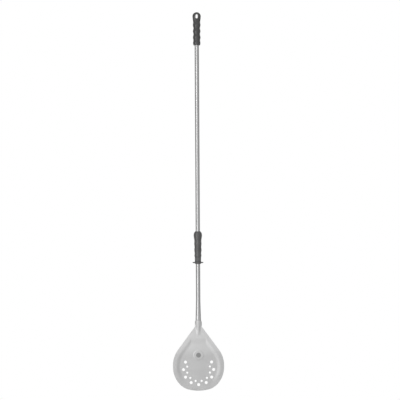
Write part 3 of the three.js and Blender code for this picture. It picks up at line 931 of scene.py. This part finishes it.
def screw_tunnel(points, recess, bore_hole):
    """The recess's soft edge and wall, its flat floor, and the small hole on to the bore."""
    count = len(recess)
    depth = min(points[i].y for i in recess)
    steps = [(RECESS_RADIUS + 0.15, depth - 0.12), (RECESS_RADIUS, depth - 0.5),
             (RECESS_RADIUS, SCREW_SEAT + 0.3), (RECESS_RADIUS - 0.3, SCREW_SEAT),
             (SCREW_HOLE_RADIUS + 0.2, SCREW_SEAT), (SCREW_HOLE_RADIUS, SCREW_SEAT - 0.2)]
    order = [recess]
    for radius, y in steps:
        turns = [2 * math.pi * step / count for step in range(count)]
        order.append(list(range(len(points), len(points) + count)))
        points += [Vector((radius * math.cos(a), y, SCREW_Z + radius * math.sin(a))) for a in turns]
    order.append(bore_hole)
    return [face for pair in zip(order, order[1:]) for face in bridge(*pair)]


add_piece("hanging_grip", *end_grip_mesh(), "end_grip", "grip_black")

# %% [markdown]
# ### The screw and the plug
#
# A short pan-head screw goes in from the back and keeps the grip on the tube when the peel hangs
# by its eye. A plug closes the tube's end inside the grip, so no water collects in it. Both are
# turned pieces. The screw's slot is cut with a boolean, which suits one straight cut across a
# small round head.

# %% Make the screw and the plug
SCREW_HEAD_RADIUS = 3.2
SCREW_HEAD_HEIGHT = 1.7
SCREW_REACH = 3.0
THREAD_PITCH = 0.9
THREAD_DEPTH = 0.28
SLOT_WIDTH = 0.9

head_under = SCREW_SEAT + 0.3
head_top = head_under + SCREW_HEAD_HEIGHT
screw_tip = TUBE_RADIUS - TUBE_WALL - SCREW_REACH
shank = [(0.0001, screw_tip, 0), (0.7, screw_tip + 0.7, 0)]
y = screw_tip + 1.4
while y < head_under - 0.8:
    shank += [(SCREW_RADIUS, y, 0.1), (SCREW_RADIUS - THREAD_DEPTH, y + THREAD_PITCH / 2, 0.1)]
    y += THREAD_PITCH
head = [(SCREW_RADIUS, head_under, 0.15), (SCREW_HEAD_RADIUS, head_under, 0.15),
        (SCREW_HEAD_RADIUS, head_under + 0.8, 0.7), (SCREW_HEAD_RADIUS - 1.1, head_top, 1.2),
        (0.0001, head_top, 0)]
screw_line = rounded(shank + head, closed=False)


def slot_block():
    """A thin block across the screw's head, as points and faces."""
    half = Vector((SLOT_WIDTH / 2, 0.9, 2 * SCREW_HEAD_RADIUS))
    corners = [(-1, -1, -1), (1, -1, -1), (1, 1, -1), (-1, 1, -1), (-1, -1, 1), (1, -1, 1), (1, 1, 1), (-1, 1, 1)]
    points = [Vector((x * half.x, head_top + y * half.y, SCREW_Z + z * half.z)) for x, y, z in corners]
    return points, [(3, 2, 1, 0), (4, 5, 6, 7), (0, 1, 5, 4), (2, 3, 7, 6), (1, 2, 6, 5), (3, 0, 4, 7)]


screw_skin = ring_skin([Ring(p.x, p.x, p.y) for p in screw_line], round_angles(48), closed=False)
add_piece("retaining_screw", *cut_away(towards_back(screw_skin), slot_block()), "end_grip_screw", "screw_steel")

plug_low, plug_high = span("tube_end_plug")
stem = TUBE_RADIUS - TUBE_WALL - GAP
plug_under = TUBE_TOP + GAP
plug_corners = [(0.0001, plug_low.z, 0), (stem - 1, plug_low.z, 0.4), (stem, plug_low.z + 2, 0.5)]
for rib in range(3):
    rib_z = plug_low.z + 4 + 3 * rib
    plug_corners += [(stem, rib_z, 0.2), (stem - 0.5, rib_z + 0.6, 0.2), (stem - 0.5, rib_z + 1.2, 0.2),
                     (stem, rib_z + 1.8, 0.2)]
plug_corners += [(stem, plug_under, 0.2), (TUBE_RADIUS, plug_under, 0.3), (TUBE_RADIUS, plug_high.z, 0.5),
                 (0.0001, plug_high.z, 0)]
plug_rings = [Ring(p.x, p.x, p.y) for p in rounded(plug_corners, closed=False)]
add_piece("tube_plug", *ring_skin(plug_rings, round_angles(64), closed=False), "tube_end_plug", "liner_black")

# %% [markdown]
# ## The sliding sleeve
#
# The sleeve is a hard nylon tube under a soft moulded cover. A bush in each end of the tube runs
# on the steel, a collar closes the top, and a flange at the hot end keeps the hand off the oven.
# All of them are turned pieces, so each is a closed profile with rounded corners.

# %% Make the sleeve's cover
SLEEVE_BORE = TUBE_RADIUS + 2 * GAP
LINER_RADIUS = 11.25
COVER_BORE = LINER_RADIUS + 0.36
COVER_TOP, COVER_END = cover_high.z, cover_low.z
COVER_WAVES = [(-853.5, 27.6), (-858.5, 31), (-867, 32.4), (-885, 27.3), (-898, 28.4), (-911, 26.3),
               (-922, 28.1), (-935, 25.7), (-944, 27.6), (-948.5, 26)]
cover_rim = [Vector((radius, z)) for radius, z in ((COVER_BORE + 0.4, COVER_TOP), (COVER_BORE + 1.6, COVER_TOP))]
cover_foot = [Vector((radius, z)) for radius, z in ((12.7, COVER_END), (COVER_BORE + 0.3, COVER_END))]
cover_bore = [Vector((COVER_BORE, lerp(COVER_END + 0.4, COVER_TOP - 0.5, step / 10))) for step in range(11)]
cover_line = cover_rim + evenly(wave_points(COVER_WAVES), 0.9) + cover_foot + cover_bore
turned_piece("sleeve_cover", cover_line, "slider_grip", "grip_black", 120, seam_above=COVER_BORE + 1.7)

# %% Make the liner, the bushes, the collars and the guard
liner_low, liner_high = span("slider_liner")
bush_low, bush_high = span("rear_bush")
BUSH_RADIUS = bush_high.x
BUSH_LENGTH = bush_high.z - bush_low.z
COUNTERBORE = BUSH_RADIUS + 0.15
pocket = BUSH_LENGTH + 2 * GAP


def turned_corners(name, corners, node, slot, sides=96, seam_above=None):
    return turned_piece(name, rounded(corners), node, slot, sides, seam_above)


turned_corners("sleeve_liner", [
    (LINER_RADIUS, liner_low.z, 0.4), (LINER_RADIUS, liner_high.z, 0.4),
    (COUNTERBORE, liner_high.z, 0.3), (COUNTERBORE, liner_high.z - pocket, 0.15),
    (SLEEVE_BORE, liner_high.z - pocket, 0.2), (SLEEVE_BORE, liner_low.z + pocket, 0.2),
    (COUNTERBORE, liner_low.z + pocket, 0.15), (COUNTERBORE, liner_low.z, 0.3),
], "slider_liner", "liner_black")


def bush(name, node):
    """A plain bush with chamfered ends and an oil groove round the middle of its bore."""
    low, high = span(node)
    bore = TUBE_RADIUS + 0.1
    middle = (low.z + high.z) / 2
    return turned_corners(name, [
        (BUSH_RADIUS, low.z, 0.4), (BUSH_RADIUS, high.z, 0.4), (bore, high.z, 0.4),
        (bore, middle + 1.2, 0.1), (bore + 0.35, middle + 0.8, 0.2), (bore + 0.35, middle - 0.8, 0.2),
        (bore, middle - 1.2, 0.1), (bore, low.z, 0.4),
    ], node, "bush_nylon", 80)


bush("upper_bush", "rear_bush")
bush("lower_bush", "front_bush")

collar_low, collar_high = span("rear_collar")
turned_corners("sleeve_top_collar", [
    (LINER_RADIUS, collar_low.z, 0.2), (LINER_RADIUS, collar_high.z - 0.6, 0.5),
    (LINER_RADIUS - 0.7, collar_high.z, 0.5), (SLEEVE_BORE, collar_high.z, 0.5), (SLEEVE_BORE, collar_low.z, 0.2),
], "rear_collar", "guard_black")

collar_low, collar_high = span("front_collar")
COLLAR_RADIUS = collar_high.x
groove = collar_low.z + 6
turned_corners("sleeve_lower_collar", [
    (COLLAR_RADIUS, collar_low.z, 0.3), (COLLAR_RADIUS, groove, 0.3), (COLLAR_RADIUS - 0.5, groove + 0.5, 0.3),
    (COLLAR_RADIUS - 0.5, groove + 1.7, 0.3), (COLLAR_RADIUS, groove + 2.2, 0.3),
    (COLLAR_RADIUS, collar_high.z - 0.6, 0.6), (COLLAR_RADIUS - 0.4, collar_high.z, 0.3),
    (COVER_BORE, collar_high.z, 0.1), (COVER_BORE, collar_low.z, 0.1),
], "front_collar", "guard_black", seam_above=COLLAR_RADIUS - 0.2)

GUARD_RADIUS = guard_high.x
GUARD_THICKNESS = 3.8
NOSE_RADIUS = 11.5
flange_under = guard_high.z - GUARD_THICKNESS
turned_corners("sleeve_guard", [
    (NOSE_RADIUS, guard_low.z, 0.8), (NOSE_RADIUS + 0.3, flange_under, 1.0), (GUARD_RADIUS, flange_under, 1.4),
    (GUARD_RADIUS, guard_high.z, 1.4), (SLEEVE_BORE, guard_high.z, 0.2), (SLEEVE_BORE, guard_low.z, 0.5),
], "guard_ring", "guard_black", 120, seam_above=GUARD_RADIUS - 0.8)

# %% [markdown]
# ## Writing finishes as sums
#
# A finish is a recipe: a little of this noise, times that stretch, added to the base. Blender
# wants it as nodes. The class below wraps a node's output so that ordinary sums build the nodes,
# and `1 - worn * 0.3` reads the way a person would say it.

# %% Sums that become nodes
class Wire:
    """The output of a node. Sums with numbers and other wires add Math nodes."""

    def __init__(self, finish, socket):
        self.finish = finish
        self.socket = socket

    def sum_with(self, operation, *values):
        return self.finish.node("Math", {"operation": operation}, dict(enumerate(values)))

    def __add__(self, other):
        return self.sum_with("ADD", self, other)

    def __radd__(self, other):
        return self.sum_with("ADD", other, self)

    def __sub__(self, other):
        return self.sum_with("SUBTRACT", self, other)

    def __rsub__(self, other):
        return self.sum_with("SUBTRACT", other, self)

    def __mul__(self, other):
        return self.sum_with("MULTIPLY", self, other)

    def __rmul__(self, other):
        return self.sum_with("MULTIPLY", other, self)


class Finish:
    """A material under construction."""

    def __init__(self, name, **looks):
        self.material = bpy.data.materials.new(name)
        self.material.use_nodes = True
        self.tree = self.material.node_tree
        self.shader = next(n for n in self.tree.nodes if n.type == "BSDF_PRINCIPLED")
        for label, value in looks.items():
            self.set(label.replace("_", " ").title().replace("Ior", "IOR"), value)

    def node(self, kind, settings=(), inputs=(), output=0):
        """Adds one node: its settings first, then what feeds its sockets."""
        made = self.tree.nodes.new("ShaderNode" + kind)
        for label, value in dict(settings).items():
            if label == "stops":
                self.place_stops(made.color_ramp, value)
            else:
                setattr(made, label, value)
        for socket, value in dict(inputs).items():
            self.feed(made.inputs[socket], value)
        return Wire(self, made.outputs[output])

    def place_stops(self, ramp, stops):
        for i, (place, grey) in enumerate(stops):
            stop = ramp.elements[i] if i < 2 else ramp.elements.new(place)
            stop.position = place
            stop.color = (grey, grey, grey, 1)

    def feed(self, socket, value):
        if isinstance(value, Wire):
            self.tree.links.new(value.socket, socket)
        else:
            socket.default_value = value

    def set(self, label, value):
        """Sets or feeds one of the shader's own sockets."""
        self.feed(self.shader.inputs[label], value)

    def place(self, stretch=(1, 1, 1)):
        """Where a point lies on the piece, in metres, stretched along each axis."""
        spot = self.node("TexCoord", output="Object")
        return self.node("VectorMath", {"operation": "MULTIPLY"}, {0: spot, 1: stretch})

    def noise(self, scale, detail=2.0, roughness=0.5, stretch=(1, 1, 1)):
        sockets = {"Vector": self.place(stretch), "Scale": scale, "Detail": detail, "Roughness": roughness}
        return self.node("TexNoise", {}, sockets)

    def ramp(self, value, *stops):
        return self.node("ValToRGB", {"stops": stops}, {0: value})

    def mix(self, share, first, second):
        """A colour between two colours."""
        return self.node("Mix", {"data_type": "RGBA"}, {0: share, 6: first, 7: second}, output=2)

    def height(self, value, depth, strength=1.0):
        """Sends a height, with its depth in millimetres, to the shader as a bump."""
        sockets = {"Height": value, "Distance": depth * MM, "Strength": strength}
        self.set("Normal", self.node("Bump", {}, sockets))


def grey(level, warmth=0.0):
    """A neutral colour, or one that leans a little to warm."""
    return (level * (1 + warmth), level, level * (1 - warmth), 1)


def paint(finish, *names):
    """Gives a finish to pieces by name."""
    for name in names:
        pieces[name].data.materials.append(finish.material)
    print("finish", finish.material.name, "on", ", ".join(names))


# %% [markdown]
# ## Steel
#
# All the steel is the same stainless, finished in different ways. The tube is polished lengthwise
# on a belt, so its scratches run along it: a noise that is squeezed across and drawn out along the
# tube gives such lines. They only shift the roughness and the height by a little, because a belt
# leaves marks of a hundredth of a millimetre.

# %% The tube's belt-polished steel
tube_finish = Finish("belt_polished_steel", metallic=1.0)
fine_lines = tube_finish.noise(1800, 3, 0.6, (1, 1, 0.006))
broad_lines = tube_finish.noise(420, 2, 0.5, (1, 1, 0.012))
handling = tube_finish.noise(14, 3, 0.55)
lines = fine_lines * 0.6 + broad_lines * 0.4
tone = tube_finish.ramp(lines * 0.75 + handling * 0.25, (0.3, 0.0), (0.7, 1.0))
tube_finish.set("Base Color", tube_finish.mix(tone, grey(0.55), grey(0.66)))
tube_finish.set("Roughness", 0.2 + lines * 0.14 + handling * 0.06)
tube_finish.height(fine_lines, 0.02, 0.35)
paint(tube_finish, "long_tube")

# %% [markdown]
# The blade is satin sheet. It has a fine random scuff from being wiped and slid over stone, a slow
# mottle where the sheet was pressed, and brighter metal at the front edge, where it rubs most.
# Three noises, drawn out in three directions, make the scuffs cross each other. The neck and the top of the blade are
# painted lighter, a painted highlight for the light they catch.

# %% The blade's satin sheet
blade_finish = Finish("satin_sheet_steel", metallic=1.0)
scuffs = [
    blade_finish.noise(520, 2, 0.6, (1, 1, 0.05)),
    blade_finish.noise(480, 2, 0.6, (0.06, 1, 1)),
]
turned_place = blade_finish.node(
    "VectorRotate", {"rotation_type": "Y_AXIS"}, {"Vector": blade_finish.place(), "Angle": 0.7})
drawn_out = blade_finish.node("VectorMath", {"operation": "MULTIPLY"}, {0: turned_place, 1: (1, 1, 0.05)})
scuffs.append(blade_finish.node("TexNoise", {}, {"Vector": drawn_out, "Scale": 450.0, "Detail": 2.0}))
scuffed = (scuffs[0] + scuffs[1] + scuffs[2]) * (1 / 3)
mottle = blade_finish.noise(22, 4, 0.6)
cloud = blade_finish.noise(9, 2, 0.5)
height_place = blade_finish.node("SeparateXYZ", {}, {0: blade_finish.place()}, output=2)
front_wear = blade_finish.node(
    "MapRange", {"clamp": True}, {0: height_place, 1: -1.44, 2: -1.473, 3: 0.0, 4: 1.0})
worn = front_wear * blade_finish.ramp(scuffs[1], (0.42, 0.0), (0.62, 1.0))
tone = mottle * 0.5 + cloud * 0.3 + scuffed * 0.2
satin = blade_finish.mix(blade_finish.ramp(tone, (0.35, 0.0), (0.65, 1.0)), grey(0.61), grey(0.68))
# Painted highlight: the colour grows lighter up the neck, standing in for the light that the neck and shoulders catch.
painted_neck_highlight = blade_finish.node(
    "MapRange", {"interpolation_type": "SMOOTHSTEP"}, {0: height_place, 1: -1.345, 2: -1.3, 3: 0.0, 4: 1.0})
satin = blade_finish.mix(painted_neck_highlight * 0.36, satin, grey(0.88))
from_mark = blade_finish.node(
    "VectorMath", {"operation": "DISTANCE"}, {0: blade_finish.place((1, 0, 1)), 1: (0, 0, BOSS_Z * MM)}, output="Value")
etched = blade_finish.node(
    "MapRange", {"clamp": True},
    {0: from_mark + mottle * 0.0012, 1: (MARK_RADIUS + 1) * MM, 2: MARK_RADIUS * MM, 3: 0.0, 4: 0.8})
MARK_PLANE = SHOULDER_Y + DISH_DEPTH - BOSS_HEIGHT
depth_place = blade_finish.node("SeparateXYZ", {}, {0: blade_finish.place()}, output=1)
on_front = blade_finish.node(
    "MapRange", {"clamp": True},
    {0: depth_place, 1: (MARK_PLANE + 0.15) * MM, 2: (MARK_PLANE - 0.15) * MM, 3: 0.0, 4: 1.0})
satin = blade_finish.mix(etched * on_front, satin, grey(0.27))
blade_finish.set("Base Color", blade_finish.mix(worn, satin, grey(0.72)))
blade_finish.set("Roughness", 0.4 + scuffed * 0.14 + mottle * 0.08 - worn * 0.06)
blade_finish.height(scuffed + mottle * 0.8, 0.03, 0.35)
paint(blade_finish, "perforated_blade")

# %% [markdown]
# A brushed weld stays a little duller than the sheet, and keeps a breath of straw colour. The
# screw is turned bright, with fine rings about its own axis.

# %% The welds and the screw
weld_finish = Finish("brushed_weld_steel", metallic=1.0)
scale_spots = weld_finish.noise(700, 3, 0.6)
weld_finish.set("Base Color", weld_finish.mix(scale_spots, grey(0.5, 0.03), grey(0.66, 0.01)))
weld_finish.set("Roughness", 0.34 + scale_spots * 0.2)
weld_finish.height(scale_spots, 0.05, 0.5)
paint(weld_finish, "left_neck_bead", "right_neck_bead", "tip_bead")

screw_finish = Finish("turned_screw_steel", metallic=1.0)
centred = screw_finish.node("VectorMath", {"operation": "SUBTRACT"}, {0: screw_finish.place(), 1: (0, 0, SCREW_Z * MM)})
across = screw_finish.node("VectorMath", {"operation": "MULTIPLY"}, {0: centred, 1: (1, 0, 1)})
from_axis = screw_finish.node("VectorMath", {"operation": "LENGTH"}, {0: across}, output="Value")
lathe_rings = screw_finish.node("Math", {"operation": "SINE"}, {0: from_axis * 60000})
dull = screw_finish.noise(900, 2)
screw_finish.set("Base Color", screw_finish.mix(dull, grey(0.5), grey(0.62)))
screw_finish.set("Roughness", 0.26 + dull * 0.12)
screw_finish.height(lathe_rings, 0.01, 0.4)
paint(screw_finish, "retaining_screw")

# %% [markdown]
# ## Charcoal plastic
#
# The grips are moulded in a soft charcoal plastic with a spark-eroded grain, like very fine leather without a
# direction. The hand rubs the crests of the waves most; here broad patches, spread at random, are a little smoother.
# The guard and the collars are a harder plastic with a finer grain.

# %% The grips and the guard
def moulded_grip(name, dark, light):
    """Soft charcoal moulding, whose dust and handling move it between two greys."""
    finish = Finish(name, metallic=0.0, specular_ior_level=0.8)
    grain = finish.node("TexVoronoi", {}, {"Vector": finish.place(), "Scale": 1300.0})
    fine_grain = finish.noise(2600, 2, 0.6)
    rubbed = finish.noise(45, 3, 0.6)
    dusted = finish.ramp(rubbed * 0.7 + fine_grain * 0.3, (0.35, 0.0), (0.7, 1.0))
    finish.set("Base Color", finish.mix(dusted, grey(dark, 0.01), grey(light, 0.01)))
    finish.set("Roughness", 0.27 + fine_grain * 0.14 - rubbed * 0.08)
    finish.height(grain * 0.6 + fine_grain * 0.4, 0.06, 0.5)
    return finish


paint(moulded_grip("soft_charcoal_grip", 0.042, 0.066), "hanging_grip")
paint(moulded_grip("dusty_charcoal_sleeve", 0.07, 0.105), "sleeve_cover")

guard_finish = Finish("hard_charcoal_guard", metallic=0.0)
pebble = guard_finish.noise(2200, 3, 0.6)
handled = guard_finish.noise(60, 2)
guard_finish.set("Base Color", guard_finish.mix(handled, grey(0.115), grey(0.15)))
guard_finish.set("Roughness", 0.34 + pebble * 0.14)
guard_finish.height(pebble, 0.03, 0.4)
paint(guard_finish, "sleeve_guard", "sleeve_top_collar", "sleeve_lower_collar")

# %% [markdown]
# ## Nylon
#
# The liner and the plug are plain black nylon, and the bushes are natural nylon, which is milky
# and a little waxy. They lie inside, but they show when the sleeve is looked at from its ends.

# %% The inner pieces
liner_finish = Finish("black_nylon", metallic=0.0)
flow = liner_finish.noise(160, 3, 0.55, (1, 1, 0.2))
liner_finish.set("Base Color", liner_finish.mix(flow, grey(0.02), grey(0.035)))
liner_finish.set("Roughness", 0.4 + flow * 0.2)
liner_finish.height(flow, 0.05, 0.3)
paint(liner_finish, "sleeve_liner", "tube_plug")

bush_finish = Finish("natural_nylon", metallic=0.0, subsurface_weight=0.1)
milk = bush_finish.noise(240, 3, 0.5)
bush_finish.set("Base Color", bush_finish.mix(milk, grey(0.66, 0.04), grey(0.78, 0.03)))
bush_finish.set("Roughness", 0.38 + milk * 0.15)
bush_finish.height(milk, 0.03, 0.3)
paint(bush_finish, "upper_bush", "lower_bush")

# %% [markdown]
# ## Camera
#
# A peel is photographed hanging straight down, from far enough away that its length isn't
# distorted. The camera stands level with the middle of the peel, looks along +Y, and is rolled by
# a third of a degree, because the peel hangs a touch out of plumb.

# %% Set the camera
CAMERA_AWAY = 4.344
CAMERA_SIDE = 0.0093
CAMERA_HEIGHT = -0.7266
CAMERA_ROLL = math.radians(0.32)
lens = bpy.data.cameras.new("studio_camera")
lens.lens = 100
lens.sensor_width = 36
camera = bpy.data.objects.new("studio_camera", lens)
camera.location = (CAMERA_SIDE, -CAMERA_AWAY, CAMERA_HEIGHT)
camera.rotation_euler = (math.pi / 2, CAMERA_ROLL, 0)
bpy.context.collection.objects.link(camera)
bpy.context.scene.camera = camera
print("camera", round(CAMERA_AWAY, 2), "m away")

# %% [markdown]
# ## Light
#
# Bright metal shows the room it stands in, so lighting it means building a room. A white studio
# with greyer sides gives a round tube its light middle and darker edges. One soft box in front
# and to the left draws the bright stripe along the tube. Behind the peel the room is plain white.

# %% Build the studio
FRONT_LIGHT, SIDE_LIGHT, BACKGROUND = 0.7, 0.38, 1.0
world = bpy.data.worlds.new("white_studio")
bpy.context.scene.world = world
world.use_nodes = True
tree = world.node_tree
tree.nodes.clear()
studio = {}
for label, kind in (("direction", "TexCoord"), ("split", "SeparateXYZ"), ("sides", "Math"), ("fade", "MapRange"),
                    ("room", "Background"), ("backdrop", "Background"), ("rays", "LightPath"),
                    ("choose", "MixShader"), ("out", "OutputWorld")):
    studio[label] = tree.nodes.new("ShaderNode" + kind)
studio["sides"].operation = "ABSOLUTE"
studio["fade"].interpolation_type = "SMOOTHSTEP"
for i, value in enumerate((0.35, 1.0, FRONT_LIGHT, SIDE_LIGHT)):
    studio["fade"].inputs[i + 1].default_value = value
studio["backdrop"].inputs["Strength"].default_value = BACKGROUND
studio["backdrop"].inputs["Color"].default_value = (1, 1, 1, 1)
studio["room"].inputs["Color"].default_value = (1, 1, 1, 1)
for source, output, target, socket in (
    ("direction", "Generated", "split", 0), ("split", 0, "sides", 0), ("sides", 0, "fade", 0),
    ("fade", 0, "room", "Strength"), ("rays", "Is Camera Ray", "choose", 0), ("room", 0, "choose", 1),
    ("backdrop", 0, "choose", 2), ("choose", 0, "out", 0),
):
    tree.links.new(studio[source].outputs[output], studio[target].inputs[socket])


def soft_box(name, azimuth, distance, height, size, power):
    """A rectangular lamp that faces the peel; azimuth 0 is at the camera, positive to its left."""
    lamp = bpy.data.lights.new(name, "AREA")
    lamp.shape = "RECTANGLE"
    lamp.size, lamp.size_y = size
    lamp.energy = power
    box = bpy.data.objects.new(name, lamp)
    turn = math.radians(azimuth)
    box.location = (-distance * math.sin(turn), -distance * math.cos(turn), height)
    towards = Vector((0, 0, height)) - box.location
    box.rotation_euler = towards.to_track_quat("-Z", "Y").to_euler()
    bpy.context.collection.objects.link(box)
    return box


soft_box("stripe_box", 30, 2.2, CAMERA_HEIGHT, (0.5, 3.2), 15)
bpy.context.scene.view_settings.view_transform = "Standard"

# %% [markdown]
# ## Floor
#
# The peel hangs, so it stands on nothing. A pale round floor lies well below the blade, for the
# views from above and the side.

# %% Lay the floor
FLOOR_DROP = 0.3
FLOOR_RADIUS = 1.2
floor_z = cad_low.z - FLOOR_DROP
floor_mesh = bpy.data.meshes.new("studio_floor")
ring = [Vector((FLOOR_RADIUS * math.cos(a), FLOOR_RADIUS * math.sin(a), floor_z)) for a in round_angles(96)]
floor_mesh.from_pydata(ring, [], [tuple(range(96))])
floor = bpy.data.objects.new("studio_floor", floor_mesh)
bpy.context.collection.objects.link(floor)
floor_finish = Finish("pale_floor", metallic=0.0)
speckle = floor_finish.noise(30, 3)
floor_finish.set("Base Color", floor_finish.mix(speckle, grey(0.8), grey(0.84)))
floor_finish.set("Roughness", 0.6 + speckle * 0.1)
floor_mesh.materials.append(floor_finish.material)
